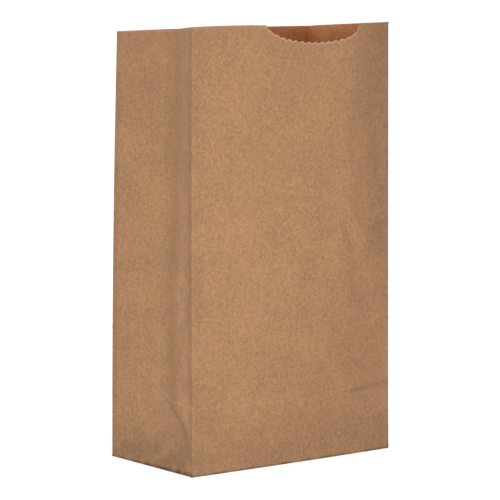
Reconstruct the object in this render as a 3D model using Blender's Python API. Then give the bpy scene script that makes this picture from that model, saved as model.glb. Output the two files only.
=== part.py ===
# Brown paper lunch bag: one sheet of kraft paper folded into a gusseted tube with a block bottom.
#
# The bag stands open on its bottom, +Z up, with its origin at the middle of the foot. The front,
# with the thumb notch, faces -Y, and the left gusset faces -X. All sizes are in metres.
#
# The paper is followed as a grid of points on its middle surface. Each face of the grid says how many
# extra plies lie on it, outside and inside, and the grid is then given its thickness ply by ply. So the
# lap seam and the bottom flaps have real cut edges, one sheet high.

import math

import bmesh
import bpy
from mathutils import Vector

# The sheet
PAPER = 0.00013  # thickness of one ply of kraft paper

# The erected bag
WIDTH = 0.1143  # front panel, corner to corner at the foot
DEPTH = 0.062  # width of a gusset, which is also the depth of the foot
HEIGHT = 0.2  # foot to the cut edge of the front

# Where each corner fold has gone by the mouth, from straight above the foot: inwards, back and down
FRONT_LEFT_SHIFT = (0.0001, -0.0007, 0.0)
FRONT_RIGHT_SHIFT = (0.0006, 0.0010, 0.0008)
BACK_LEFT_SHIFT = (0.0011, -0.0042, 0.0040)
BACK_RIGHT_SHIFT = (0.0021, -0.0030, 0.0044)
BACK_CORNER_BOW = 0.0008  # how far the back's corner folds bow out on the way

# The folds above the foot
APEX_TUCK = 0.0097  # how far a gusset is pushed in where its folds meet above the foot
SLANT_BOW = 0.0038  # how far the front's slanting fold bows towards the corner fold
SLANT_BOW_PEAK = 0.6  # below one, the bow is deepest near the foot

# The fold across the front, where the bottom lay against it while the bag was flat
FLAP_FOLD_DIP = 0.0008  # how far the front is drawn in along that fold
FLAP_FOLD_PINCH = 0.0011  # how far the left corner is drawn in sideways there
FLAP_FOLD_SPREAD = 0.022  # how far above the fold the panel has come back
FLAP_MARK_DIP = 0.00025  # the line pressed into the front by the edge of the folded bottom
FLAP_MARK_SPREAD = 0.004

# Bellies of the panels
FOOT_SWELL = 0.0008  # of the front along the foot
FRONT_SWELL = 0.0004  # of the front above it
SHOULDER = 0.0024  # the front's roll towards its right corner fold
SHOULDER_ROUND = 6  # the higher, the closer the roll is to that corner
SHOULDER_HEIGHT = 0.09  # height at which it is full
BACK_SWELL = 0.0020  # of the back above the flap fold
MOUTH_SWELL = 0.0045  # what the back's belly grows by up to the mouth
EDGE_HOLD = 6  # how soon past a corner fold a panel is free to buckle

# Lap seam down the back
SEAM_WIDTH = 0.012
SEAM_OFFSET = 0.006  # its middle, from the middle of the back towards the right gusset

# Bottom flaps
FLAP_OVERLAP = 0.0104  # how far the two long flaps lie over each other

# Thumb notch in the front
NOTCH_WIDTH = 0.0535
NOTCH_DEPTH = 0.0087
NOTCH_OFFSET = 0.0106  # its middle, from the middle of the front towards the right
NOTCH_TILT = math.radians(2.4)  # the punch stood a little askew, deeper on the right
TOOTH_PITCH = 0.0036
TOOTH_HEIGHT = 0.0011
TOOTH_FADE = 0.25  # share of the curve at each end over which the teeth grow
NOTCH_STEPS = 400  # pieces of the curve that the teeth are spaced along

# Soft buckles in the panels: across, up, length, width, angle, and rise outwards
FRONT_BUCKLES = (
    (0.0940, 0.1060, 0.030, 0.0080, math.radians(-56), 0.0009),
    (0.0895, 0.0975, 0.024, 0.0080, math.radians(-56), -0.0009),
    (0.0955, 0.0785, 0.030, 0.0110, math.radians(-62), -0.0006),
    (0.0915, 0.1700, 0.080, 0.0200, math.radians(90), 0.0008),
)
BACK_BUCKLES = (
    (0.0320, 0.1150, 0.040, 0.0090, math.radians(64), 0.0008),
    (0.0820, 0.0700, 0.036, 0.0080, math.radians(-70), -0.0007),
)

# How finely the sheet is divided
FLAP_CELLS = 5  # from a corner to the cut edge of the other flap
CELL = 0.0068  # the longest cell of the walls

HALF_DEPTH = DEPTH / 2
FLAP_REACH = (DEPTH + FLAP_OVERLAP) / 2  # from a flap's fold to its cut edge
SHORT_REACH = (DEPTH - FLAP_OVERLAP) / 2  # from a flap's fold to the other flap's cut edge
SEAM_EDGES = tuple(WIDTH / 2 + SEAM_OFFSET + side * SEAM_WIDTH / 2 for side in (-1, 1))
LEFT, RIGHT = -1, 1
NEAR = 1e-7  # points closer than this are one point
MITRE_LIMIT = 0.5  # keeps a mitred corner from running out further than twice the ply
SHARP_FOLD = math.radians(14)  # faces that meet at more than this are shaded as a fold
KRAFT = (0.455, 0.269, 0.146, 1.0)


def same(a, b):
    return abs(a - b) < NEAR


def blend(a, b, t):
    return a + (b - a) * t


def smooth(t):
    t = min(1.0, max(0.0, t))
    return t * t * (3 - 2 * t)


def filled(marks):
    """The marks in order, with lines added where two of them lie further apart than a cell."""
    marks = sorted(marks)
    lines = marks[:1]
    for low, high in zip(marks, marks[1:]):
        if same(low, high):
            continue
        parts = max(1, math.ceil((high - low) / CELL))
        lines += [blend(low, high, (i + 1) / parts) for i in range(parts)]
    return lines


def flap_marks():
    """Distances from a corner of the foot, equal both ways, so that the diagonal folds cross whole cells."""
    return [SHORT_REACH * i / FLAP_CELLS for i in range(FLAP_CELLS + 1)] + [HALF_DEPTH]


def gusset_lines():
    """Distances across a gusset or the depth of the foot, from the front."""
    return filled(flap_marks() + [DEPTH - s for s in flap_marks()])


def panel_lines():
    """Distances across the front, the back or the foot, from the left."""
    end = flap_marks() + [FLAP_REACH]
    return filled(end + [WIDTH - s for s in end] + list(SEAM_EDGES))


def height_lines():
    return filled(flap_marks() + [DEPTH, HEIGHT])


def buckle(across, up, buckles):
    total = 0.0
    for centre, height, length, width, angle, rise in buckles:
        x, z = across - centre, up - height
        along = x * math.cos(angle) + z * math.sin(angle)
        off = z * math.cos(angle) - x * math.sin(angle)
        total += rise * math.exp(-((2 * along / length) ** 2) - (2 * off / width) ** 2)
    return total


def fold_share(up):
    """One along the flap fold, nothing along the foot and once the panel has come back above it."""
    if up <= HALF_DEPTH:
        return up / HALF_DEPTH
    return 1 - smooth((up - HALF_DEPTH) / FLAP_FOLD_SPREAD)


def shifted(side, foot_y, shift, up):
    t = up / HEIGHT
    inwards, back, down = shift
    return Vector((side * (WIDTH / 2 - inwards * t), foot_y + back * t, PAPER / 2 + up - down * t))


def front_corner(side, up):
    """The fold between the front and a gusset. The left one is drawn in at the flap fold."""
    if side == RIGHT:
        return shifted(side, -HALF_DEPTH, FRONT_RIGHT_SHIFT, up)
    place = shifted(side, -HALF_DEPTH, FRONT_LEFT_SHIFT, up)
    return place + Vector((FLAP_FOLD_PINCH, FLAP_FOLD_DIP, 0)) * fold_share(up)


def back_corner(side, up):
    """The fold between the back and a gusset."""
    place = shifted(side, HALF_DEPTH, BACK_LEFT_SHIFT if side == LEFT else BACK_RIGHT_SHIFT, up)
    place.x += side * BACK_CORNER_BOW * math.sin(math.pi * up / HEIGHT)
    return place


def apex(side):
    """Where the folds of a gusset meet above the foot, half a gusset above it along the paper."""
    rise = math.sqrt(HALF_DEPTH**2 - APEX_TUCK**2)
    return Vector((side * (WIDTH / 2 - APEX_TUCK), 0.0, PAPER / 2 + rise))


def slant_fold(side, corner, t):
    """A point of the fold from a corner of the foot to the apex. The front's one is bowed."""
    place = blend(corner, apex(side), t)
    if corner.y > 0 or same(t, 0) or same(t, 1):
        return place
    bow = SLANT_BOW * math.sin(math.pi * t**SLANT_BOW_PEAK)
    return place + Vector((0, -bow, bow))


def gusset_fold(side, up):
    """The middle fold of a gusset, tucked in by as much as the width of its two halves asks."""
    front, back = front_corner(side, HEIGHT), back_corner(side, HEIGHT)
    high = (front + back) / 2
    spread = (back - front).xy.length / 2
    high.x -= side * math.sqrt(max(HALF_DEPTH**2 - spread**2, 0.0))
    return blend(apex(side), high, (up - HALF_DEPTH) / (HEIGHT - HALF_DEPTH))


def gusset_point(side, across, up):
    """A point of a gusset, across from its front fold, on the facet between the nearest folds."""
    front, back = front_corner(side, up), back_corner(side, up)
    if same(up, 0):
        return blend(front, back, across / DEPTH)
    if up > HALF_DEPTH - NEAR:
        fold = gusset_fold(side, up)
        if across < HALF_DEPTH:
            return blend(front, fold, across / HALF_DEPTH)
        return blend(fold, back, across / HALF_DEPTH - 1)
    near = slant_fold(side, front_corner(side, 0), up / HALF_DEPTH)
    far = slant_fold(side, back_corner(side, 0), up / HALF_DEPTH)
    if across <= up:
        return blend(front, near, across / up)
    if across >= DEPTH - up:
        return blend(far, back, (across - DEPTH + up) / up)
    return blend(near, far, (across - up) / (DEPTH - 2 * up))


def belly(across):
    """Nothing at the two corners of a panel and one in its middle."""
    return 4 * across / WIDTH * (1 - across / WIDTH)


def freedom(across):
    """Nothing at the corner folds, which hold a panel flat, and one a little way from them."""
    return min(1.0, EDGE_HOLD * belly(across))


def shoulder(across, up):
    """The front's roll: it rises slowly from the left fold and turns back before the right one."""
    t = across / WIDTH
    peak = (1 / (SHOULDER_ROUND + 1)) ** (1 / SHOULDER_ROUND)
    highest = peak * (1 - peak**SHOULDER_ROUND)
    return SHOULDER * smooth(up / SHOULDER_HEIGHT) * t * (1 - t**SHOULDER_ROUND) / highest


def front_point(across, up):
    point = blend(front_corner(LEFT, up), front_corner(RIGHT, up), across / WIDTH)
    out = belly(across) * blend(FOOT_SWELL, FRONT_SWELL, smooth(up / SHOULDER_HEIGHT))
    out += shoulder(across, up)
    out -= belly(across) * FLAP_MARK_DIP * math.exp(-(((up - DEPTH) / FLAP_MARK_SPREAD) ** 2))
    out -= freedom(across) * FLAP_FOLD_DIP * fold_share(up) * across / WIDTH
    out += freedom(across) * buckle(across, up, FRONT_BUCKLES)
    return point - Vector((0, out, 0))


def back_point(across, up):
    point = blend(back_corner(LEFT, up), back_corner(RIGHT, up), across / WIDTH)
    out = belly(across) * (BACK_SWELL + MOUTH_SWELL * (up / HEIGHT) ** 2)
    out += freedom(across) * buckle(across, up, BACK_BUCKLES)
    return point + Vector((0, out * smooth(up / HALF_DEPTH) + seam_shift(across, up), 0))


def seam_shift(across, up):
    """At the lap the middle surface passes from the outer ply to the inner one."""
    if same(up, 0):
        return 0.0
    if same(across, SEAM_EDGES[0]):
        return PAPER / 2
    return -PAPER / 2 if same(across, SEAM_EDGES[1]) else 0.0


def foot_point(across, deep):
    return blend(front_point(across, 0.0), back_point(across, 0.0), deep / DEPTH)


def gusset_plies(_, across, up):
    """A side flap's fold lies above the two plies of the long flaps, except at the corners."""
    at_corner = same(across, 0) or same(across, DEPTH)
    return (-2 if same(up, 0) and not at_corner else 0), 0


def back_plies(middle, across, up):
    """The seam is a ply thicker, outside along its left edge and inside along its right one."""
    if same(up, 0) or not SEAM_EDGES[0] < middle[0] < SEAM_EDGES[1]:
        return 0, 0
    left = same(across, SEAM_EDGES[0])
    return (0, 1) if left else (1, 0) if same(across, SEAM_EDGES[1]) else (0.5, 0.5)


def from_end(across):
    return min(across, WIDTH - across)


def foot_plies(middle, across, deep):
    """Extra plies of the block bottom, by the flap that shows from below."""
    end, inside = from_end(middle[0]), 0
    if end < FLAP_REACH:
        inside = 2
    elif SHORT_REACH < middle[1] < FLAP_REACH:
        inside = 1
    if end > middle[1] and middle[1] < FLAP_REACH:
        return 0, inside
    if end > DEPTH - middle[1]:
        at_edge = same(deep, FLAP_REACH) or (deep > HALF_DEPTH - NEAR and same(from_end(across), deep))
        if not at_edge:
            return 0, inside
        return -1, max(inside, 1)
    at_corner = same(from_end(across), 0) and (same(deep, 0) or same(deep, DEPTH))
    return (0 if at_corner else -2), inside


def on_gusset_fold(across, up):
    return up < HALF_DEPTH + NEAR and same(min(across, DEPTH - across), up)


def on_foot_fold(across, deep):
    end = from_end(across)
    front = same(end, deep) and deep < FLAP_REACH + NEAR
    return front or (same(end, DEPTH - deep) and deep > HALF_DEPTH - NEAR)


class Sheet:
    """Points on the middle of the paper, and faces that count their extra plies at each corner."""

    def __init__(self):
        self.points = []
        self.faces = []
        self.index = {}
        self.foot = set()  # points of the foot, where plies are stacked straight up

    def point(self, place, in_foot):
        key = tuple(round(c / NEAR) for c in place)
        if key not in self.index:
            self.index[key] = len(self.points)
            self.points.append(place)
        if in_foot:
            self.foot.add(self.index[key])
        return self.index[key]

    def add_panel(self, columns, rows, place, plies=None, on_fold=None, flip=False, foot=False):
        for a0, a1 in zip(columns, columns[1:]):
            for b0, b1 in zip(rows, rows[1:]):
                for cell in split_cell(a0, a1, b0, b1, on_fold):
                    middle = [sum(c) / len(cell) for c in zip(*cell)]
                    ring = cell[::-1] if flip else cell
                    corners = [self.point(place(a, b), foot or same(b, 0)) for a, b in ring]
                    counts = [plies(middle, a, b) if plies else (0, 0) for a, b in ring]
                    self.faces.append((corners, counts))


def split_cell(a0, a1, b0, b1, on_fold):
    """A cell as one quad, or as two triangles where a diagonal fold crosses it."""
    low, right, high, left = (a0, b0), (a1, b0), (a1, b1), (a0, b1)
    if on_fold and on_fold(*low) and on_fold(*high):
        return [(low, right, high), (low, high, left)]
    if on_fold and on_fold(*right) and on_fold(*left):
        return [(low, right, left), (right, high, left)]
    return [(low, right, high, left)]


def folded_sheet():
    sheet = Sheet()
    across, deep, up = panel_lines(), gusset_lines(), height_lines()
    sheet.add_panel(across, up, front_point)
    sheet.add_panel(across, up, back_point, back_plies, flip=True)
    for side in (LEFT, RIGHT):
        sheet.add_panel(
            deep, up, lambda s, z, side=side: gusset_point(side, s, z), gusset_plies, on_gusset_fold,
            flip=side == LEFT,
        )
    sheet.add_panel(across, deep, foot_point, foot_plies, on_foot_fold, flip=True, foot=True)
    return sheet


def face_normal(points):
    normal = Vector()
    for a, b in zip(points, points[1:] + points[:1]):
        normal += a.cross(b)
    return normal.normalized()


def outward(sheet):
    """For each point, the mitred step to one unit outside all its faces, and the way that plies stack."""
    normals = [[] for _ in sheet.points]
    for corners, _ in sheet.faces:
        normal = face_normal([sheet.points[i] for i in corners])
        for i in corners:
            normals[i].append(normal)
    steps = []
    for i, found in enumerate(normals):
        mean = sum(found, Vector()).normalized()
        mitre = mean / max(min(mean.dot(n) for n in found), MITRE_LIMIT)
        steps.append((mitre, Vector((0, 0, -1)) if i in sheet.foot else mean))
    return steps


class Skin:
    """The closed surface of the paper: an outer and an inner vertex for each ply count at a point."""

    def __init__(self, sheet):
        self.sheet = sheet
        self.steps = outward(sheet)
        self.counts = ([set() for _ in sheet.points], [set() for _ in sheet.points])
        for corners, counts in sheet.faces:
            for i, pair in zip(corners, counts):
                for side in (0, 1):
                    self.counts[side][i].add(pair[side])
        self.bm = bmesh.new()
        self.verts = {}

    def vert(self, side, i, count):
        """side is 0 for the outer skin and 1 for the inner one."""
        key = (side, i, count)
        if key not in self.verts:
            mitre, stack = self.steps[i]
            way = -1 if side else 1
            place = self.sheet.points[i] + way * PAPER * (mitre / 2 + stack * count)
            self.verts[key] = self.bm.verts.new(place)
        return self.verts[key]

    def chain(self, side, i, start, end):
        """The vertices at a point from one ply count to another, through those between."""
        between = [c for c in self.counts[side][i] if min(start, end) < c < max(start, end)]
        order = [start] + sorted(between, reverse=start > end) + [end]
        return [self.vert(side, i, c) for c in (order if start != end else [start])]

    def face(self, verts):
        ring = [v for k, v in enumerate(verts) if v is not verts[k - 1]]
        if len(ring) > 2:
            self.bm.faces.new(ring)

    def build(self):
        edges = {}
        for corners, counts in self.sheet.faces:
            for side in (0, 1):
                verts = [self.vert(side, i, pair[side]) for i, pair in zip(corners, counts)]
                self.face(verts[::-1] if side else verts)
            for k in range(len(corners)):
                a, b = corners[k - 1], corners[k]
                edges[a, b] = counts[k - 1], counts[k]
        for (a, b), (at_a, at_b) in edges.items():
            if (b, a) not in edges:
                self.rim(a, b, at_a, at_b)
            elif a < b:
                back_b, back_a = edges[b, a]
                for side in (0, 1):
                    self.cut_edge(side, a, b, (at_a[side], at_b[side]), (back_a[side], back_b[side]))
        return self.bm

    def cut_edge(self, side, a, b, here, there):
        """The cut edge of a ply, where two faces that meet carry different numbers of plies."""
        if here == there:
            return
        ring = self.chain(side, a, here[0], there[0]) + self.chain(side, b, there[1], here[1])
        self.face(ring[::-1] if side else ring)

    def rim(self, a, b, at_a, at_b):
        """The cut edge of the mouth, from the outer skin through all plies to the inner one."""
        self.face(self.through(a, at_a) + self.through(b, at_b)[::-1])

    def through(self, i, counts):
        outer = sorted((c for c in self.counts[0][i] if c <= counts[0]), reverse=True)
        inner = sorted(c for c in self.counts[1][i] if c <= counts[1])
        return [self.vert(0, i, c) for c in outer] + [self.vert(1, i, c) for c in inner]


def paper_material():
    material = bpy.data.materials.new("kraft_paper")
    material.use_nodes = True
    shader = material.node_tree.nodes["Principled BSDF"]
    shader.inputs["Base Color"].default_value = KRAFT
    shader.inputs["Roughness"].default_value = 0.86
    shader.inputs["Metallic"].default_value = 0.0
    material.diffuse_color = KRAFT
    return material


def add_object(name, bm):
    mesh = bpy.data.meshes.new(name)
    bm.to_mesh(mesh)
    bm.free()
    obj = bpy.data.objects.new(name, mesh)
    bpy.context.scene.collection.objects.link(obj)
    return obj


def notch_outline():
    """The punch's toothed curve, half an ellipse hung from the cut edge, closed above the bag."""
    half = NOTCH_WIDTH / 2
    curve = [math.pi * i / NOTCH_STEPS for i in range(NOTCH_STEPS + 1)]
    places = [(-half * math.cos(t), -NOTCH_DEPTH * math.sin(t)) for t in curve]
    run = [0.0]
    for (x0, z0), (x1, z1) in zip(places, places[1:]):
        run.append(run[-1] + math.hypot(x1 - x0, z1 - z0))
    flanks = 2 * round(run[-1] / TOOTH_PITCH)
    outline = []
    for k in range(flanks + 1):
        share = k / flanks
        i = min(range(len(run)), key=lambda j: abs(run[j] - run[-1] * share))
        grown = min(1.0, share / TOOTH_FADE, (1 - share) / TOOTH_FADE)
        lift = TOOTH_HEIGHT / 2 * grown * (1 if k % 2 else -1)
        x, z = places[i]
        outline.append((x, z + lift))
    above = 2 * NOTCH_DEPTH
    skew = math.tan(NOTCH_TILT)
    toothed = [(NOTCH_OFFSET + x, HEIGHT + z - x * skew) for x, z in outline]
    ends = [(NOTCH_OFFSET + side * half, HEIGHT + above) for side in (RIGHT, LEFT)]
    return toothed + ends


def notch_cutter():
    """A bar with the notch's outline that passes through the front only."""
    bm = bmesh.new()
    ring = [bm.verts.new((x, -HALF_DEPTH - DEPTH / 4, z)) for x, z in notch_outline()]
    face = bm.faces.new(ring)
    made = bmesh.ops.extrude_face_region(bm, geom=[face])["geom"]
    pushed = [v for v in made if isinstance(v, bmesh.types.BMVert)]
    bmesh.ops.translate(bm, verts=pushed, vec=(0, DEPTH / 2, 0))
    bmesh.ops.recalc_face_normals(bm, faces=bm.faces)
    cutter = add_object("notch_cutter", bm)
    cutter.hide_render = True
    cutter.display_type = "WIRE"
    return cutter


def paper_bag():
    bag = add_object("paper_bag", Skin(folded_sheet()).build())
    bag.data.materials.append(paper_material())
    bag.data.shade_smooth()
    bag.data.set_sharp_from_angle(angle=SHARP_FOLD)
    cut = bag.modifiers.new("thumb_notch", "BOOLEAN")
    cut.operation = "DIFFERENCE"
    cut.solver = "EXACT"
    cut.object = notch_cutter()
    return bag


def clear_scene():
    for obj in list(bpy.data.objects):
        bpy.data.objects.remove(obj, do_unlink=True)


clear_scene()
paper_bag()
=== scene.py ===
import math

import bmesh
import bpy
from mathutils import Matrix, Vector, noise


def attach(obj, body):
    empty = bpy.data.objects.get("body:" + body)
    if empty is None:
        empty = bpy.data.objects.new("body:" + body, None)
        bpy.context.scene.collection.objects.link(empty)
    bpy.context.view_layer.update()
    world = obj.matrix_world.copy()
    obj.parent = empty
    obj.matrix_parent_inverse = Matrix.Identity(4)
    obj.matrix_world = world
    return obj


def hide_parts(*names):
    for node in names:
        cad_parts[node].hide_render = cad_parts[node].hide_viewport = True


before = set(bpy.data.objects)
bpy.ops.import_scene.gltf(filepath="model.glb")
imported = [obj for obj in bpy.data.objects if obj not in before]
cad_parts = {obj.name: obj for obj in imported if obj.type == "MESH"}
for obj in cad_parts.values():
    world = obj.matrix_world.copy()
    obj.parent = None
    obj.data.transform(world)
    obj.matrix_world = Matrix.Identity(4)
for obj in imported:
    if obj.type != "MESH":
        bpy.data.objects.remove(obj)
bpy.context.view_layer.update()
print("paper bag: frame loaded")

# The bag stands on z = 0, its front with the thumb notch faces -y, and the left gusset faces -x.

bag = {  # metres, as in the part
    "paper": 0.00013,
    "width": 0.1143,
    "depth": 0.062,
    "height": 0.2,
    "frontLeftShift": (0.0001, -0.0007, 0.0),  # at the mouth: inwards, back and down
    "frontRightShift": (0.0006, 0.0010, 0.0008),
    "backLeftShift": (0.0011, -0.0042, 0.0040),
    "backRightShift": (0.0021, -0.0030, 0.0046),
    "backCornerBow": 0.0008,
    "apexTuck": 0.0097,
    "slantBow": 0.0038,  # of the slanting fold on the left of the front
    "slantBowPeak": 0.6,
    "footSwell": 0.0008,
    "frontSwell": 0.0004,
    "shoulder": 0.0028,  # the front rises to a soft ridge, then turns back to its right fold
    "shoulderHeight": 0.09,
    "shoulderTop": 0.0019,  # what the ridge gains near the mouth
    "shoulderTopStart": 0.11,
    "shoulderTopReach": 0.07,
    "ridge": 0.77,  # share of the width
    "ridgeRound": 0.10,
    "rimRise": 0.0003,  # how far the front's cut edge bows up at its left
    "rimRiseReach": 0.045,
    "creaseDrop": 0.0005,  # how much lower the left gusset's crease ends
    "cornerSoft": 0.0003,  # the front's left corner fold is rounded by this much
    "cornerRound": 0.0032,  # and this far to both sides of it
    "cornerInwards": (0.82, 0.57, 0),
    "backSwell": 0.0020,
    "mouthSwell": 0.0045,
    "edgeHold": 6,  # how fast a panel is free to move beside its folds
    "foldDip": 0.0008,  # along the fold across the front
    "foldPinch": 0.0011,
    "foldSpread": 0.022,
    "creaseHold": 0.004,
    "seamWidth": 0.012,
    "seamOffset": 0.006,
    "flapOverlap": 0.0104,
    "wander": 0.00022,  # slow waves all over the panels
    "wanderSize": 0.03,
    "foldSoftness": 0.5,
    "softFoldReach": 0.0006,
    "flatEnough": 0.97,  # cosine beyond which a point isn't on a fold
    "rimDepth": 0.0012,  # how far the pale cut edge reaches down
    "insideLightStart": 0.02,  # painted light brightens and reddens the inner skin above this height
    "insideLightReach": 0.03,
}

notch = {
    "width": 0.0535,
    "depth": 0.0083,
    "offset": 0.0093,
    "tilt": math.radians(2.4),
    "toothPitch": 0.0036,
    "toothHeight": 0.00085,
    "toothFade": 0.16,
    "steps": 400,
    "reach": 0.024,  # how far below the mouth the rows of the mesh give way to it
    "flank": 0.00012,  # beside its ends, where the edge drops steeply
    "lipLean": 0.0012,  # its edge leans in a little
    "lipReach": 0.62,  # share of its width
    "lipStart": 0.168,
    "lipHeight": 0.026,
}

meshing = {
    "cell": 0.0019,
    "fine": (0.0003, 0.0009, 0.0018),  # extra lines beside a fold
    "rim": (0.0012, 0.0005, 0.0002),  # and below the mouth
}

# Soft buckles: from (across, up) to (across, up), width, rise outwards, all in millimetres
frontBuckles = [
    ((85.8, 118), (102, 94), 7, 0.7),
    ((85.9, 106), (93, 93), 6, -0.8),
    ((90, 90), (101, 67), 9, -0.5),
    ((82, 95), (69, 57), 6, 0.22),
    ((104, 168), (107, 128), 9, -0.5),
    ((22, 90), (24, 88), 8, 0.3),
    ((30, 150), (34, 100), 16, 0.25),
    ((58, 165), (54, 120), 14, -0.22),
    ((100, 60), (113, 63), 5, 0.35),
]
backBuckles = [
    ((26, 140), (44, 98), 12, 0.8),
    ((90, 84), (74, 52), 10, -0.7),
    ((60, 176), (64, 140), 14, 0.4),
    ((12, 70), (20, 46), 9, 0.4),
]
gussetBuckles = [
    ((15, 62), (8, 36), 9, -0.35),
    ((46, 150), (44, 90), 12, 0.4),
    ((20, 180), (18, 110), 12, -0.25),
    ((47, 56), (53, 38), 8, 0.3),
]

width, depth, height, paper = bag["width"], bag["depth"], bag["height"], bag["paper"]
halfDepth = depth / 2
flapReach = (depth + bag["flapOverlap"]) / 2
shortReach = (depth - bag["flapOverlap"]) / 2
seamMiddle = width / 2 + bag["seamOffset"]
seamEdges = (seamMiddle - bag["seamWidth"] / 2, seamMiddle + bag["seamWidth"] / 2)
left, right = -1, 1
near = 1e-7


def same(a, b):
    return abs(a - b) < near


def blend(a, b, t):
    return a + (b - a) * t


def smooth(t):
    t = min(1.0, max(0.0, t))
    return t * t * (3 - 2 * t)


# Lines that divide the sheet

def filled(marks, folds=()):
    beside = [side * step for side in (-1, 1) for step in meshing["fine"]]
    low, high = min(marks), max(marks)
    extra = [fold + step for fold in folds for step in beside if low < fold + step < high]
    marks = sorted(list(marks) + extra)
    lines = marks[:1]
    for a, b in zip(marks, marks[1:]):
        if same(a, b):
            continue
        parts = max(1, math.ceil((b - a) / meshing["cell"] - 0.01))
        lines += [blend(a, b, (i + 1) / parts) for i in range(parts)]
    return lines


def cornerMarks():  # the same both ways from a corner of the foot: slanting folds cross whole cells
    return filled([0, shortReach, halfDepth], (0, halfDepth))


def gussetLines():
    marks = cornerMarks()
    return filled(marks + [depth - s for s in marks])


def notchOutline():
    half = notch["width"] / 2
    steps = notch["steps"]
    curve = [math.pi * i / steps for i in range(steps + 1)]
    places = [(-half * math.cos(t), -notch["depth"] * math.sin(t)) for t in curve]
    run = [0.0]
    for (x0, z0), (x1, z1) in zip(places, places[1:]):
        run.append(run[-1] + math.hypot(x1 - x0, z1 - z0))
    flanks = 2 * round(run[-1] / notch["toothPitch"])
    outline = []
    for k in range(flanks + 1):
        share = k / flanks
        i = min(range(len(run)), key=lambda j: abs(run[j] - run[-1] * share))
        grown = min(1.0, share / notch["toothFade"], (1 - share) / notch["toothFade"])
        lift = notch["toothHeight"] / 2 * grown * (1 if k % 2 else -1)
        x, z = places[i]
        across = width / 2 + notch["offset"] + x
        outline.append((across, height + z + lift - x * math.tan(notch["tilt"])))
    return outline


teeth = notchOutline()


def notchTop(across):  # height of the front's cut edge
    if across <= teeth[0][0] or across >= teeth[-1][0]:
        return height
    for (x0, z0), (x1, z1) in zip(teeth, teeth[1:]):
        if x0 <= across <= x1:
            return min(height, blend(z0, z1, (across - x0) / (x1 - x0)))
    return height


def panelLines():
    marks = cornerMarks() + [flapReach]
    marks += [width - s for s in marks]
    steep = [teeth[0][0] - notch["flank"], teeth[-1][0] + notch["flank"]]
    return filled(marks + list(seamEdges) + [x for x, z in teeth] + steep)


def heightLines():
    rim = [height - step for step in meshing["rim"]]
    return filled(cornerMarks() + [depth, height] + rim, (depth,))


# Shape of the panels

def wander(*place):
    place = Vector(place) / bag["wanderSize"]
    return bag["wander"] * (noise.noise(place) + 0.4 * noise.noise(place / 0.42))


def buckle(across, up, buckles):
    total = 0.0
    at = Vector((across, up)) * 1000
    for start, end, wide, rise in buckles:
        start, end = Vector(start), Vector(end)
        along = end - start
        t = min(1.0, max(0.0, (at - start).dot(along) / along.length_squared))
        off = (at - start - along * t).length / wide
        ends = smooth(4 * min(t, 1 - t) + 0.25) if wide < 15 else 1.0
        total += rise / 1000 * ends * math.exp(-4 * off * off)
    return total


def foldShare(up):
    if up <= halfDepth:
        return up / halfDepth
    return 1 - smooth((up - halfDepth) / bag["foldSpread"])


def shifted(side, footY, shift, up):
    t = up / height
    inwards, back, down = shift
    return Vector((side * (width / 2 - inwards * t), footY + back * t, paper / 2 + up - down * t))


def frontCorner(side, up):
    if side == right:
        return shifted(side, -halfDepth, bag["frontRightShift"], up)
    place = shifted(side, -halfDepth, bag["frontLeftShift"], up)
    return place + Vector((bag["foldPinch"], bag["foldDip"], 0)) * foldShare(up)


def backCorner(side, up):
    place = shifted(side, halfDepth, bag["backLeftShift" if side == left else "backRightShift"], up)
    place.x += side * bag["backCornerBow"] * math.sin(math.pi * up / height)
    return place


def apex(side):
    rise = math.sqrt(halfDepth**2 - bag["apexTuck"]**2)
    return Vector((side * (width / 2 - bag["apexTuck"]), 0.0, paper / 2 + rise))


def slantFold(side, corner, t):  # from a corner of the foot to the apex
    place = blend(corner, apex(side), t)
    if corner.y > 0 or same(t, 0) or same(t, 1):
        return place
    bow = bag["slantBow"] * math.sin(math.pi * t ** bag["slantBowPeak"])
    return place + Vector((0, -bow, bow))


def gussetFold(side, up):
    front, back = frontCorner(side, height), backCorner(side, height)
    high = (front + back) / 2
    spread = (back - front).xy.length / 2
    high.x -= side * math.sqrt(max(halfDepth**2 - spread**2, 0.0))
    if side == left:
        high.z -= bag["creaseDrop"]
    return blend(apex(side), high, (up - halfDepth) / (height - halfDepth))


def gussetPlace(side, across, up):
    front, back = frontCorner(side, up), backCorner(side, up)
    if same(up, 0):
        return blend(front, back, across / depth)
    if up > halfDepth - near:
        fold = gussetFold(side, up)
        if across < halfDepth:
            return blend(front, fold, across / halfDepth)
        return blend(fold, back, across / halfDepth - 1)
    nearFold = slantFold(side, frontCorner(side, 0), up / halfDepth)
    farFold = slantFold(side, backCorner(side, 0), up / halfDepth)
    if across <= up:
        return blend(front, nearFold, across / up)
    if across >= depth - up:
        return blend(farFold, back, (across - depth + up) / up)
    return blend(nearFold, farFold, (across - up) / (depth - 2 * up))


def softCorner(across, up):
    share = max(0.0, 1 - across / bag["cornerRound"])
    return Vector(bag["cornerInwards"]) * bag["cornerSoft"] * share * share * smooth(up / 0.012)


def gussetPoint(side, across, up):
    place = gussetPlace(side, across, up)
    free = min(1.0, 8 * across / depth, 8 * (1 - across / depth), 6 * up / depth)
    if up > halfDepth:
        free *= min(1.0, abs(across - halfDepth) / bag["creaseHold"])
    out = free * (buckle(across, up, gussetBuckles) + wander(across, up, 5.0 + side))
    place.x += side * out
    return place + softCorner(across, up) if side == left else place


def belly(across):
    return 4 * across / width * (1 - across / width)


def freedom(across):
    return min(1.0, bag["edgeHold"] * belly(across))


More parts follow.
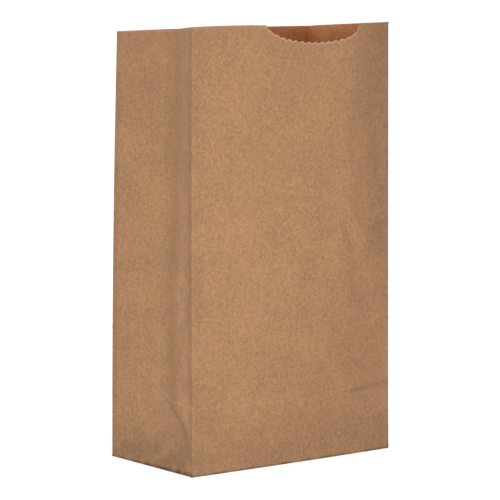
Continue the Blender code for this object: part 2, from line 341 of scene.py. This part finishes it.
def shoulder(across, up):
    t = across / width
    rising, falling = t / bag["ridge"], (1 - t) / (1 - bag["ridge"])
    soft = bag["ridgeRound"] * min(1.0, 4 * t * (1 - t))
    roof = (rising + falling - math.hypot(rising - falling, soft)) / 2
    rise = bag["shoulder"] * smooth(up / bag["shoulderHeight"])
    rise += bag["shoulderTop"] * smooth((up - bag["shoulderTopStart"]) / bag["shoulderTopReach"])
    return rise * max(0.0, roof)


def frontPoint(across, up):
    top = notchTop(across)
    start = height - notch["reach"]
    if up > start:
        up = blend(start, top, (up - start) / notch["reach"])
    place = blend(frontCorner(left, up), frontCorner(right, up), across / width)
    alongRim = min(1.0, across / bag["rimRiseReach"])
    place.z += bag["rimRise"] * smooth(up / height) * math.sin(math.pi * alongRim)
    swell = blend(bag["footSwell"], bag["frontSwell"], smooth(up / bag["shoulderHeight"]))
    out = belly(across) * swell
    out += shoulder(across, up)
    out -= freedom(across) * bag["foldDip"] * foldShare(up) * across / width
    out += freedom(across) * smooth(up / 0.02) * (
        buckle(across, up, frontBuckles) + wander(across, up, 1.0)
    )
    lip = (across - width / 2 - notch["offset"]) / (notch["lipReach"] * notch["width"])
    if abs(lip) < 1:
        lean = smooth((up - notch["lipStart"]) / notch["lipHeight"])
        out -= notch["lipLean"] * lean * (1 - lip * lip) ** 2
    return place - Vector((0, out, 0)) + softCorner(across, up)


def backPoint(across, up):
    place = blend(backCorner(left, up), backCorner(right, up), across / width)
    out = belly(across) * (bag["backSwell"] + bag["mouthSwell"] * (up / height) ** 2)
    out += freedom(across) * (buckle(across, up, backBuckles) + wander(across, up, 9.0))
    return place + Vector((0, out * smooth(up / halfDepth) + seamShift(across, up), 0))


def seamShift(across, up):
    if same(up, 0):
        return 0.0
    if same(across, seamEdges[0]):
        return paper / 2
    return -paper / 2 if same(across, seamEdges[1]) else 0.0


def footPoint(across, deep):
    return blend(frontPoint(across, 0.0), backPoint(across, 0.0), deep / depth)


# Extra plies outside and inside the sheet

def singlePly(middle, across, up):
    return 0, 0


def gussetPlies(middle, across, up):
    atCorner = same(across, 0) or same(across, depth)
    return (-2 if same(up, 0) and not atCorner else 0), 0


def backPlies(middle, across, up):
    if same(up, 0) or not seamEdges[0] < middle[0] < seamEdges[1]:
        return 0, 0
    if same(across, seamEdges[0]):
        return 0, 1
    return (1, 0) if same(across, seamEdges[1]) else (0.5, 0.5)


def fromEnd(across):
    return min(across, width - across)


def footPlies(middle, across, deep):
    end, inside = fromEnd(middle[0]), 0
    if end < flapReach:
        inside = 2
    elif shortReach < middle[1] < flapReach:
        inside = 1
    if end > middle[1] and middle[1] < flapReach:
        return 0, inside
    if end > depth - middle[1]:
        onSlant = deep > halfDepth - near and same(fromEnd(across), deep)
        if same(deep, flapReach) or onSlant:
            return -1, max(inside, 1)
        return 0, inside
    atCorner = same(fromEnd(across), 0) and (same(deep, 0) or same(deep, depth))
    return (0 if atCorner else -2), inside


def onGussetFold(across, up):
    return up < halfDepth + near and same(min(across, depth - across), up)


def onFootFold(across, deep):
    end = fromEnd(across)
    front = same(end, deep) and deep < flapReach + near
    return front or (same(end, depth - deep) and deep > halfDepth - near)


def splitCell(a0, a1, b0, b1, onFold):
    low, lowRight, high, highLeft = (a0, b0), (a1, b0), (a1, b1), (a0, b1)
    if onFold and onFold(*low) and onFold(*high):
        return [(low, lowRight, high), (low, high, highLeft)]
    if onFold and onFold(*lowRight) and onFold(*highLeft):
        return [(low, lowRight, highLeft), (lowRight, high, highLeft)]
    return [(low, lowRight, high, highLeft)]


class Sheet:  # points on the middle of the paper, and faces with their plies and flat places
    def __init__(self):
        self.points = []
        self.faces = []
        self.index = {}
        self.foot = set()
        self.mouth = {}

    def point(self, place, inFoot, up):
        key = tuple(round(c / near) for c in place)
        if key not in self.index:
            self.index[key] = len(self.points)
            self.points.append(place)
            inNotch = place.y < -0.02 and place.z < height - 0.0018
            share = smooth(1 - (height - up) / bag["rimDepth"])
            self.mouth[self.index[key]] = share * (1.0 if inNotch else 0.3)
        if inFoot:
            self.foot.add(self.index[key])
        return self.index[key]

    def addPanel(self, columns, rows, place, flat, plies, onFold=None, flip=False, foot=False):
        for a0, a1 in zip(columns, columns[1:]):
            for b0, b1 in zip(rows, rows[1:]):
                for cell in splitCell(a0, a1, b0, b1, onFold):
                    middle = [sum(c) / len(cell) for c in zip(*cell)]
                    ring = cell[::-1] if flip else cell
                    corners = [
                        self.point(place(a, b), foot or same(b, 0), 0.0 if foot else b)
                        for a, b in ring
                    ]
                    counts = [plies(middle, a, b) for a, b in ring]
                    self.faces.append((corners, counts, [flat(a, b) for a, b in ring]))


def foldedSheet():
    sheet = Sheet()
    across, deep, up = panelLines(), gussetLines(), heightLines()
    sheet.addPanel(across, up, frontPoint, lambda a, b: (a, b), singlePly)
    sheet.addPanel(
        across, up, backPoint, lambda a, b: (2 * width + depth - a, b), backPlies, flip=True,
    )
    sheet.addPanel(
        deep, up, lambda s, z: gussetPoint(left, s, z), lambda s, z: (-s, z),
        gussetPlies, onGussetFold, flip=True,
    )
    sheet.addPanel(
        deep, up, lambda s, z: gussetPoint(right, s, z), lambda s, z: (width + s, z),
        gussetPlies, onGussetFold,
    )
    sheet.addPanel(
        across, deep, footPoint, lambda a, s: (a, -s),
        footPlies, onFootFold, flip=True, foot=True,
    )
    return sheet


def faceNormal(points):
    normal = Vector()
    for a, b in zip(points, points[1:] + points[:1]):
        normal += a.cross(b)
    return normal.normalized()


def normalsAt(sheet):
    normals = [[] for _ in sheet.points]
    for corners, _, _ in sheet.faces:
        normal = faceNormal([sheet.points[i] for i in corners])
        for i in corners:
            normals[i].append(normal)
    return normals


def softenFolds(sheet):  # draws each point that stands on a sharp fold towards its neighbours
    around = [set() for _ in sheet.points]
    for corners, _, _ in sheet.faces:
        for k, i in enumerate(corners):
            around[i].update((corners[k - 1], corners[(k + 1) % len(corners)]))
    moved = {}
    for i, found in enumerate(normalsAt(sheet)):
        mean = sum(found, Vector()).normalized()
        bend = min(mean.dot(n) for n in found)
        if i in sheet.foot or sheet.mouth[i] > 0 or bend > bag["flatEnough"]:
            continue
        here = sheet.points[i]
        close = [j for j in around[i] if (sheet.points[j] - here).length < bag["softFoldReach"]]
        if close:
            middle = sum((sheet.points[j] for j in close), Vector()) / len(close)
            moved[i] = blend(sheet.points[i], middle, bag["foldSoftness"])
    for i, place in moved.items():
        sheet.points[i] = place


def outward(sheet):  # at each point, the way out on its mitre and the way that plies stack
    steps = []
    for i, found in enumerate(normalsAt(sheet)):
        mean = sum(found, Vector()).normalized()
        mitre = mean / max(min(mean.dot(n) for n in found), 0.5)
        steps.append((mitre, Vector((0, 0, -1)) if i in sheet.foot else mean))
    return steps


class Skin:  # an outer and an inner vertex for each ply count at a point
    def __init__(self, sheet):
        self.sheet = sheet
        self.steps = outward(sheet)
        self.counts = ([set() for _ in sheet.points], [set() for _ in sheet.points])
        for corners, counts, _ in sheet.faces:
            for i, pair in zip(corners, counts):
                for side in (0, 1):
                    self.counts[side][i].add(pair[side])
        self.bm = bmesh.new()
        self.flat = self.bm.loops.layers.uv.new("flatSheet")
        self.cut = self.bm.verts.layers.float.new("cutEdge")
        self.inner = self.bm.verts.layers.float.new("insideLightShare")
        self.verts = {}

    def vert(self, side, i, count):
        key = (side, i, count)
        if key not in self.verts:
            mitre, stack = self.steps[i]
            way = -1 if side else 1
            place = self.sheet.points[i] + way * paper * (mitre / 2 + stack * count)
            made = self.bm.verts.new(place)
            made[self.cut] = self.sheet.mouth[i]
            # painted light on the inner skin, fading in above a set height
            insideLitShare = smooth((place.z - bag["insideLightStart"]) / bag["insideLightReach"])
            made[self.inner] = side * insideLitShare
            self.verts[key] = made
        return self.verts[key]

    def chain(self, side, i, start, end):
        if start == end:
            return [self.vert(side, i, start)]
        low, high = min(start, end), max(start, end)
        between = [c for c in self.counts[side][i] if low < c < high]
        order = [start] + sorted(between, reverse=start > end) + [end]
        return [self.vert(side, i, c) for c in order]

    def face(self, verts, places, cut=0):
        kept = [k for k, v in enumerate(verts) if v is not verts[k - 1]]
        if len(kept) < 3:
            return
        face = self.bm.faces.new([verts[k] for k in kept])
        face.material_index = cut
        for loop, k in zip(face.loops, kept):
            loop[self.flat].uv = places[k]

    def build(self):
        edges = {}
        for corners, counts, flats in self.sheet.faces:
            for side in (0, 1):
                verts = [self.vert(side, i, pair[side]) for i, pair in zip(corners, counts)]
                if side:
                    self.face(verts[::-1], flats[::-1])
                else:
                    self.face(verts, flats)
            for k in range(len(corners)):
                edges[corners[k - 1], corners[k]] = (counts[k - 1], counts[k], flats[k])
        for (a, b), (atA, atB, flat) in edges.items():
            if (b, a) not in edges:
                ring = self.through(a, atA) + self.through(b, atB)[::-1]
                self.face(ring, [flat] * len(ring), 1)
            elif a < b:
                backB, backA, _ = edges[b, a]
                for side in (0, 1):
                    self.cutFace(side, a, b, (atA[side], atB[side]), (backA[side], backB[side]), flat)
        return self.bm

    def cutFace(self, side, a, b, here, there, flat):
        if here == there:
            return
        ring = self.chain(side, a, here[0], there[0])
        ring += self.chain(side, b, there[1], here[1])
        self.face(ring[::-1] if side else ring, [flat] * len(ring), 1)

    def through(self, i, counts):
        outer = sorted((c for c in self.counts[0][i] if c <= counts[0]), reverse=True)
        inner = sorted(c for c in self.counts[1][i] if c <= counts[1])
        return [self.vert(0, i, c) for c in outer] + [self.vert(1, i, c) for c in inner]


# Node helpers

def addNode(tree, kind, inputs=None, **settings):
    node = tree.nodes.new(kind)
    for name, value in settings.items():
        setattr(node, name, value)
    for key, value in (inputs or {}).items():
        socket = node.inputs[key]
        if isinstance(value, bpy.types.NodeSocket):
            tree.links.new(value, socket)
        else:
            socket.default_value = value
    return node


def math2(tree, operation, a, b=0.0, c=None, clamp=False):
    inputs = {0: a, 1: b} if c is None else {0: a, 1: b, 2: c}
    return addNode(tree, "ShaderNodeMath", inputs, operation=operation, use_clamp=clamp).outputs[0]


def vector2(tree, operation, a, b=(0, 0, 0)):
    node = addNode(tree, "ShaderNodeVectorMath", {0: a, 1: b}, operation=operation)
    return node.outputs["Value" if operation in ("LENGTH", "DOT_PRODUCT") else "Vector"]


def scaled(tree, vector, scale):
    node = addNode(tree, "ShaderNodeVectorMath", {0: vector, "Scale": scale}, operation="SCALE")
    return node.outputs["Vector"]


def ramp(tree, value, low, high, toLow=0.0, toHigh=1.0, kind="SMOOTHSTEP"):
    node = addNode(
        tree, "ShaderNodeMapRange",
        {"Value": value, "From Min": low, "From Max": high, "To Min": toLow, "To Max": toHigh},
        interpolation_type=kind,
    )
    return node.outputs["Result"]


def mixed(tree, share, a, b, kind="RGBA"):
    inputs = {"Factor": share, "A": a, "B": b}
    return addNode(tree, "ShaderNodeMix", inputs, data_type=kind).outputs["Result"]


def noiseOf(tree, place, scale, detail=2.0, rough=0.5, distortion=0.0):
    inputs = {"Vector": place, "Scale": scale, "Detail": detail, "Roughness": rough}
    inputs["Distortion"] = distortion
    return addNode(tree, "ShaderNodeTexNoise", inputs).outputs["Fac"]


def newGroup(name, inputs, outputs):
    group = bpy.data.node_groups.new(name, "ShaderNodeTree")
    sockets = group.interface
    for label, kind, value in inputs:
        socket = sockets.new_socket(name=label, in_out="INPUT", socket_type=kind)
        if value is not None:
            socket.default_value = value
    for label, kind in outputs:
        sockets.new_socket(name=label, in_out="OUTPUT", socket_type=kind)
    given = group.nodes.new("NodeGroupInput").outputs
    return group, given, group.nodes.new("NodeGroupOutput").inputs


def placeGroup(tree, group, inputs):
    return addNode(tree, "ShaderNodeGroup", inputs, node_tree=group).outputs


grain = {  # places in millimetres
    "turn": (0.6, 0.9, 0.4),  # keeps the noise from lining up with the panels
    "cloud": 0.055,
    "mottle": 0.46,
    "fleck": 1.20,
    "streak": (1.5, 1.5, 0.22),
    "fibre": (0.95, 0.95, 0.42),
    "cloudWeight": 0.28,
    "mottleWeight": 0.42,
    "fleckWeight": 0.86,
    "streakWeight": 0.18,
    "fibreWeight": 0.035,
    "speckCell": 0.105,
    "speckSize": 0.030,
}


def grainGroup():
    group, given, out = newGroup(
        "kraftGrain",
        [("Place", "NodeSocketVector", None), ("Depth", "NodeSocketFloat", 1.0)],
        [("Tone", "NodeSocketFloat"), ("Speck", "NodeSocketFloat"), ("Height", "NodeSocketFloat")],
    )
    upright = given["Place"]
    place = addNode(
        group, "ShaderNodeVectorRotate", {"Vector": upright, "Rotation": grain["turn"]},
        rotation_type="EULER_XYZ",
    ).outputs["Vector"]
    cloud = noiseOf(group, place, grain["cloud"], 3.0, 0.6)
    mottle = noiseOf(group, place, grain["mottle"], 3.0, 0.62)
    fleck = noiseOf(group, place, grain["fleck"], 2.0, 0.6)
    streak = vector2(group, "MULTIPLY", upright, grain["streak"])
    streak = noiseOf(group, streak, 1.0, 2.0, 0.55)
    fibre = vector2(group, "MULTIPLY", place, grain["fibre"])
    fibre = math2(group, "SUBTRACT", noiseOf(group, fibre, 1.0, 1.0, 0.5, 1.6), 0.5)
    fibre = ramp(group, math2(group, "ABSOLUTE", fibre), 0.0, 0.03, 1.0, 0.0)
    total = 0.0
    for value, weight in (
        (cloud, "cloudWeight"), (mottle, "mottleWeight"),
        (fleck, "fleckWeight"), (streak, "streakWeight"),
    ):
        off = math2(group, "SUBTRACT", value, 0.5)
        total = math2(group, "MULTIPLY_ADD", off, grain[weight], total)
    total = math2(group, "MULTIPLY_ADD", fibre, grain["fibreWeight"], total)
    tone = math2(group, "MULTIPLY_ADD", total, given["Depth"], 1.0)
    speckle = addNode(
        group, "ShaderNodeTexVoronoi", {"Vector": place, "Scale": grain["speckCell"]}, feature="F1",
    )
    size = math2(group, "MULTIPLY", fleck, grain["speckSize"] * 2)
    speck = math2(group, "LESS_THAN", speckle.outputs["Distance"], size)
    group.links.new(tone, out["Tone"])
    group.links.new(speck, out["Speck"])
    tall = math2(group, "MULTIPLY_ADD", fleck, 0.5, math2(group, "MULTIPLY", fibre, 0.35))
    tall = math2(group, "MULTIPLY_ADD", mottle, 0.5, tall)
    group.links.new(tall, out["Height"])
    return group


def foldLineGroup():
    group, given, out = newGroup(
        "foldLine",
        [("Place", "NodeSocketVector", None), ("From", "NodeSocketVector", None),
         ("To", "NodeSocketVector", None), ("Width", "NodeSocketFloat", 1.0)],
        [("Line", "NodeSocketFloat")],
    )
    along = vector2(group, "SUBTRACT", given["To"], given["From"])
    away = vector2(group, "SUBTRACT", given["Place"], given["From"])
    share = math2(
        group, "DIVIDE", vector2(group, "DOT_PRODUCT", away, along),
        vector2(group, "DOT_PRODUCT", along, along), clamp=True,
    )
    off = vector2(group, "SUBTRACT", away, scaled(group, along, share))
    off = vector2(group, "LENGTH", off)
    group.links.new(ramp(group, off, 0.0, given["Width"], 1.0, 0.0), out["Line"])
    return group


# Folds and pressed lines on the flat sheet, and bands of painted shade and painted light, in
# millimetres: across from the front's left fold and up from the foot. Then width, paleness (painted
# shade and light on most rows, a paler fold on some) and rise of the bump.
foldsAndPaintedShading = [
    # painted shade beside the front's left fold
    ((1, 0), (1, 200), 8, -0.10, 0.0),
    # painted shade along the front's right fold and the right part of its cut edge
    ((114.3, 0), (114.3, 200), 0.9, -0.30, 0.0),
    ((84, 199.7), (114.3, 199.7), 0.8, -0.30, 0.0),
    ((-62, 0), (-62, 200), 0.55, 0.05, 0.0),
    ((176.3, 0), (176.3, 200), 0.55, 0.06, 0.0),
    ((-31, 31), (-31, 200), 0.8, 0.04, -0.3),
    ((145.3, 31), (145.3, 200), 0.7, -0.05, -0.3),
    ((-31, 31), (-31, 0), 0.6, 0.03, 0.2),
    ((145.3, 31), (145.3, 0), 0.6, 0.03, 0.2),
    # painted highlight along the fold across the left gusset's front half
    ((-31, 31), (0, 30.6), 0.9, 0.24, 0.8),
    ((0, 30.6), (52, 29.6), 0.8, 0.05, -0.5),
    ((52, 29.6), (92, 29.4), 0.8, 0.04, -0.5),
    # painted shade along the fold across the front's right end
    ((92, 29.4), (114.3, 31.6), 2.4, -0.20, -2.0),
    ((114.3, 31.4), (145.3, 31), 0.7, 0.06, 0.5),
    ((-31, 62.5), (0, 62.9), 0.7, 0.05, 0.4),
    ((0, 62.9), (53, 59.8), 0.7, 0.05, 0.4),
    ((53, 59.8), (94, 60.5), 0.8, 0.02, 0.3),
    ((94, 60.5), (114.3, 63.6), 0.8, 0.11, 1.0),
    ((114.3, 63.6), (145.3, 62.5), 0.7, 0.04, 0.4),
    # painted shade: a dark groove drawn along the bowed slanting fold of the left gusset
    ((-31, 31), (-21.5, 22.5), 2.2, -0.16, -0.8),
    ((-21.5, 22.5), (-14.6, 20.4), 2.2, -0.15, -0.8),
    ((-14.6, 20.4), (-10.8, 17.6), 2.2, -0.15, -0.6),
    ((-10.8, 17.6), (0, 17), 2.0, -0.12, -0.4),
    # painted shade over the right part of the front, and weaker over its left part
    ((109, 100), (109, 205), 17, -0.12, 0.0),
    ((6, 0), (6, 200), 22, -0.05, 0.0),
    # painted light: lighter bands beside the left gusset's crease and over its front half
    ((-35, 31), (-35, 200), 8, 0.10, 0.0),
    ((-28, 31), (-28, 200), 5, 0.05, 0.0),
    ((-10, 31), (-10, 200), 15, 0.13, 0.0),
    # painted shade along the left gusset's back fold
    ((-60.6, 0), (-60.6, 200), 2.2, -0.16, 0.0),
    # painted shade beside the back's right fold, seen inside through the notch
    ((183.5, 150), (183.5, 196), 1.6, -0.25, 0.0),
    ((-62, 0), (-31, 31), 1.0, -0.02, -0.2),
    ((114.3, 0), (145.3, 31), 1.0, -0.03, -0.3),
    ((176.3, 0), (145.3, 31), 1.0, -0.03, -0.3),
    # painted shade: darker towards the foot on the front and the left gusset
    ((4, 8), (110, 8), 23, -0.11, 0.0),
    ((-50, 2), (-14, 2), 22, -0.32, 0.0),
    # painted light over the left gusset's front half and its facet above the foot, painted shade near
    # the top of its back half
    ((-14, 31), (-14, 130), 15, 0.09, 0.0),
    ((-48, 165), (-48, 200), 20, -0.09, 0.0),
    ((-14, 80), (-12, 30), 17, 0.13, 0.0),
    ((-6, 28), (-3, 4), 9, 0.24, 0.0),
    # painted shadow along the foot's edges, where the bag meets the floor
    ((-62, 0), (0, 0), 1.2, -0.60, 0.0),
    ((0, 0), (114.3, 0), 1.2, -0.60, 0.0),
    ((114.3, 0), (176.3, 0), 1.2, -0.60, 0.0),
    ((85, 119), (103, 93), 1.3, 0.04, 0.4),
    ((86, 105), (93, 93.5), 1.3, -0.06, -0.6),
    ((91, 200), (91, 136), 1.6, 0.03, 0.3),
    ((0, -31), (31, -31), 0.5, 0.03, 0.2),
    ((83, -31), (114.3, -31), 0.5, 0.03, 0.2),
]

kraft = {
    "pale": (0.700, 0.382, 0.194, 1),
    "deep": (0.192, 0.104, 0.053, 1),
    "speck": (0.085, 0.042, 0.020, 1),
    "cutEdge": (0.700, 0.480, 0.330, 1),
    "insideLightGain": (1.92, 1.72, 1.42),  # painted light: brightens and reddens the inside, standing in for light that comes through the paper
    "contrast": 1.0,
    "roughness": (0.80, 0.92),
    "specular": 0.28,
    "grainHeight": 0.00005,
    "lineHeight": 0.00010,
    "edgeShare": 0.7,
    "speckShare": 0.8,
    "shake": (0.9, 0.9, 0.0),  # how far the painted lines waver, in millimetres
    "shakeScale": 0.35,
    "fadeScale": 0.11,  # of the stretches where a line is fainter
    "fade": (0.35, 1.0),
}


def paintLines(tree, lineTree, colour, tall):
    flat = addNode(tree, "ShaderNodeUVMap", uv_map="flatSheet").outputs["UV"]
    flat = scaled(tree, flat, 1000.0)
    shake = addNode(
        tree, "ShaderNodeTexNoise", {"Vector": flat, "Scale": kraft["shakeScale"], "Detail": 2.0},
    ).outputs["Color"]
    shake = vector2(tree, "SUBTRACT", shake, (0.5, 0.5, 0.5))
    flat = vector2(tree, "ADD", flat, vector2(tree, "MULTIPLY", shake, kraft["shake"]))
    fade = ramp(tree, noiseOf(tree, flat, kraft["fadeScale"], 2.0), 0.3, 0.62, *kraft["fade"])
    paintedShadeAndFoldTone, lineRise = 0.0, 0.0
    # each row lightens or darkens the paper: painted shade and light on most, a paler fold on some
    for start, end, wide, pale, rise in foldsAndPaintedShading:
        line = placeGroup(
            tree, lineTree,
            {"Place": flat, "From": (*start, 0), "To": (*end, 0), "Width": wide},
        )["Line"]
        paintedShadeAndFoldTone = math2(tree, "MULTIPLY_ADD", line, pale, paintedShadeAndFoldTone)
        if rise:
            lineRise = math2(tree, "MULTIPLY_ADD", line, rise, lineRise)
    gain = math2(tree, "ADD", math2(tree, "MULTIPLY", paintedShadeAndFoldTone, fade), 1.0)
    tall = math2(tree, "MULTIPLY_ADD", lineRise, kraft["lineHeight"], tall)
    return scaled(tree, colour, gain), tall


# Painted light: the inner skin's colour is brightened and reddened by a gain above one.
def paintInsideLight(tree, colour):
    inner = addNode(tree, "ShaderNodeAttribute", attribute_name="insideLightShare").outputs["Fac"]
    insideGain = mixed(tree, inner, (1, 1, 1), kraft["insideLightGain"], "VECTOR")
    return vector2(tree, "MULTIPLY", colour, insideGain)


def wearEdge(tree, colour):
    edge = addNode(tree, "ShaderNodeAttribute", attribute_name="cutEdge").outputs["Fac"]
    share = math2(tree, "MULTIPLY", edge, kraft["edgeShare"])
    return mixed(tree, share, colour, kraft["cutEdge"])


def kraftMaterial(name, grainTree, lineTree=None):  # without lines it is the cut edge
    material = bpy.data.materials.new(name)
    material.use_nodes = True
    tree = material.node_tree
    shader = tree.nodes["Principled BSDF"]
    place = scaled(tree, addNode(tree, "ShaderNodeTexCoord").outputs["Object"], 1000.0)
    marks = placeGroup(tree, grainTree, {"Place": place, "Depth": kraft["contrast"]})
    tall = math2(tree, "MULTIPLY", marks["Height"], kraft["grainHeight"])
    if lineTree:
        share = ramp(tree, marks["Tone"], 0.5, 1.5, 0.0, 1.0, "LINEAR")
        colour = mixed(tree, share, kraft["deep"], kraft["pale"])
        colour, tall = paintLines(tree, lineTree, colour, tall)
        colour = wearEdge(tree, paintInsideLight(tree, colour))
    else:
        colour = kraft["cutEdge"]
    specks = math2(tree, "MULTIPLY", marks["Speck"], kraft["speckShare"])
    colour = mixed(tree, specks, colour, kraft["speck"])
    tree.links.new(colour, shader.inputs["Base Color"])
    bump = addNode(tree, "ShaderNodeBump", {"Height": tall, "Strength": 1.0, "Distance": 1.0})
    tree.links.new(bump.outputs["Normal"], shader.inputs["Normal"])
    roughness = ramp(tree, marks["Tone"], 0.8, 1.2, *kraft["roughness"], "LINEAR")
    tree.links.new(roughness, shader.inputs["Roughness"])
    shader.inputs["Specular IOR Level"].default_value = kraft["specular"]
    return material


def makePaperBag():
    sheet = foldedSheet()
    softenFolds(sheet)
    print("paper bag: sheet laid out,", len(sheet.faces), "cells")
    bm = Skin(sheet).build()
    mesh = bpy.data.meshes.new("foldedPaperBag")
    bm.to_mesh(mesh)
    bm.free()
    piece = bpy.data.objects.new("foldedPaperBag", mesh)
    bpy.context.scene.collection.objects.link(piece)
    mesh.shade_smooth()
    mesh.set_sharp_from_angle(angle=math.radians(40))
    grainTree = grainGroup()
    mesh.materials.append(kraftMaterial("kraftPaper", grainTree, foldLineGroup()))
    mesh.materials.append(kraftMaterial("kraftCutEdge", grainTree))
    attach(piece, "root")
    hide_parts("paper_bag")
    triangles = sum(len(p.vertices) - 2 for p in mesh.polygons)
    print("paper bag: folded,", triangles, "triangles")
    return piece


makePaperBag()


studio = {
    "floorColour": (0.35, 0.35, 0.35, 1),
    "floorGlow": (0.80, 1.0),  # at the bag and far from it, seen by the camera only
    "glowReach": (0.12, 0.7),
    "floorReach": 6.0,
    "floorGap": 0.00002,
    "worldColour": (1.0, 1.0, 1.0, 1),
    "worldStrength": 0.09,
    "keyPlace": (-0.20, -0.45, 0.10),  # close and low: the front pales left of its middle
    "keySize": 0.2,
    "keyPower": 1.60,
    "fillPlace": (0.15, -1.2, 0.25),
    "fillSize": 0.6,
    "fillPower": 0.6,
    "sidePlace": (-0.9, 0.55, 0.12),
    "sideSize": 0.5,
    "sidePower": 6.0,
    "topPlace": (0.0, 0.0, 1.3),
    "topSize": 1.0,
    "topPower": 12.3,
    "aim": (0, 0, 0.1),
}

view = {  # fitted to the bag's corners in the photo
    "place": (-0.79245, -1.0348, 0.2562),
    "turn": 37.42,
    "down": 7.062,
    "lens": 204.98,
}


def cameraRay(tree):
    path = addNode(tree, "ShaderNodeLightPath").outputs
    seen = math2(tree, "ADD", path["Is Camera Ray"], path["Is Glossy Ray"], clamp=True)
    return math2(tree, "ADD", seen, path["Is Transmission Ray"], clamp=True)


def makeFloor():
    mesh = bpy.data.meshes.new("studioFloor")
    reach, low = studio["floorReach"], -studio["floorGap"]
    sides = [(-1, -1), (1, -1), (1, 1), (-1, 1)]
    mesh.from_pydata([(x * reach, y * reach, low) for x, y in sides], [], [(0, 1, 2, 3)])
    floor = bpy.data.objects.new("studioFloor", mesh)
    bpy.context.scene.collection.objects.link(floor)
    material = bpy.data.materials.new("studioFloor")
    material.use_nodes = True
    tree = material.node_tree
    shader = tree.nodes["Principled BSDF"]
    shader.inputs["Base Color"].default_value = studio["floorColour"]
    shader.inputs["Roughness"].default_value = 1.0
    shader.inputs["Specular IOR Level"].default_value = 0.0
    away = vector2(tree, "LENGTH", addNode(tree, "ShaderNodeTexCoord").outputs["Object"])
    glow = ramp(tree, away, *studio["glowReach"], *studio["floorGlow"])
    glow = math2(tree, "MULTIPLY", cameraRay(tree), glow)
    tree.links.new(glow, shader.inputs["Emission Strength"])
    shader.inputs["Emission Color"].default_value = (1, 1, 1, 1)
    mesh.materials.append(material)


def makeWorld():
    world = bpy.data.worlds.new("studioWorld")
    bpy.context.scene.world = world
    world.use_nodes = True
    tree = world.node_tree
    tree.nodes.clear()
    lit = addNode(
        tree, "ShaderNodeBackground",
        {"Color": studio["worldColour"], "Strength": studio["worldStrength"]},
    )
    seen = addNode(tree, "ShaderNodeBackground", {"Color": (1, 1, 1, 1), "Strength": 1.0})
    mix = addNode(tree, "ShaderNodeMixShader", {0: cameraRay(tree)})
    tree.links.new(lit.outputs[0], mix.inputs[1])
    tree.links.new(seen.outputs[0], mix.inputs[2])
    output = addNode(tree, "ShaderNodeOutputWorld")
    tree.links.new(mix.outputs[0], output.inputs["Surface"])


def addSoftbox(name):
    light = bpy.data.lights.new(name + "Softbox", "AREA")
    light.shape = "SQUARE"
    light.size = studio[name + "Size"]
    light.energy = studio[name + "Power"]
    lamp = bpy.data.objects.new(name + "Softbox", light)
    lamp.location = studio[name + "Place"]
    lamp.visible_camera = False
    way = Vector(studio["aim"]) - lamp.location
    lamp.rotation_euler = way.to_track_quat("-Z", "Y").to_euler()
    bpy.context.scene.collection.objects.link(lamp)


def makeCamera():
    camera = bpy.data.cameras.new("photoCamera")
    camera.sensor_width = 36.0
    camera.lens = view["lens"]
    camera.clip_start = 0.05
    eye = bpy.data.objects.new("photoCamera", camera)
    eye.location = view["place"]
    eye.rotation_euler = (math.radians(90 - view["down"]), 0, -math.radians(view["turn"]))
    bpy.context.scene.collection.objects.link(eye)
    bpy.context.scene.camera = eye


makeFloor()
makeWorld()
for name in ("key", "fill", "side", "top"):
    addSoftbox(name)
makeCamera()
bpy.context.scene.view_settings.view_transform = "Standard"
print("paper bag: studio ready")

bpy.context.view_layer.update()
